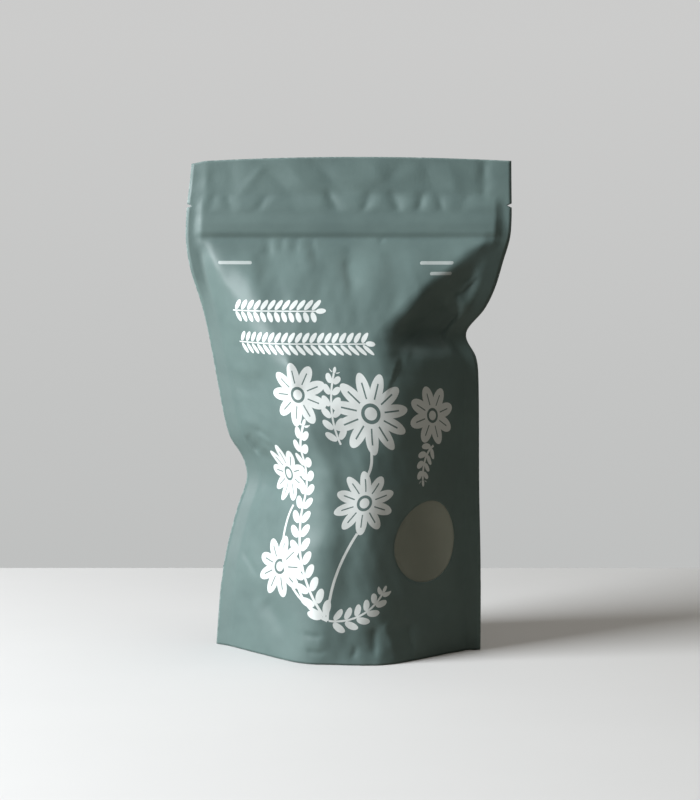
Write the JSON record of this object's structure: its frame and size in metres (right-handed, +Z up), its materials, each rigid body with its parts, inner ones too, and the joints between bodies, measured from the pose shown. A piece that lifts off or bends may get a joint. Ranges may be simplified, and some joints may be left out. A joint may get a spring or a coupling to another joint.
{
  "type": "stand-up pouch of potting mix",
  "caption": "Filled stand-up pouch with a folded bottom, sealed top, press-to-close strip, tear notches and a round clear window.",
  "frame": {"origin": "on the floor, in the middle of the bag's base", "axes": "+Z up, the front with the window faces -Y, +X to the right as seen from the front"},
  "size_m": [0.2195, 0.11, 0.334],
  "materials": {
    "film": "matte printed laminate film, soft touch",
    "window": "clear satin film",
    "zip": "translucent extruded strip",
    "soil": "dark crumbly potting mix"
  },
  "bodies": {
    "root": {"front_panel": "film", "back_panel": "film", "base_gusset": "film", "window_film": "window", "zip_strip_front": "zip", "zip_strip_back": "zip", "potting_mix": "soil"}
  },
  "joints": []
}
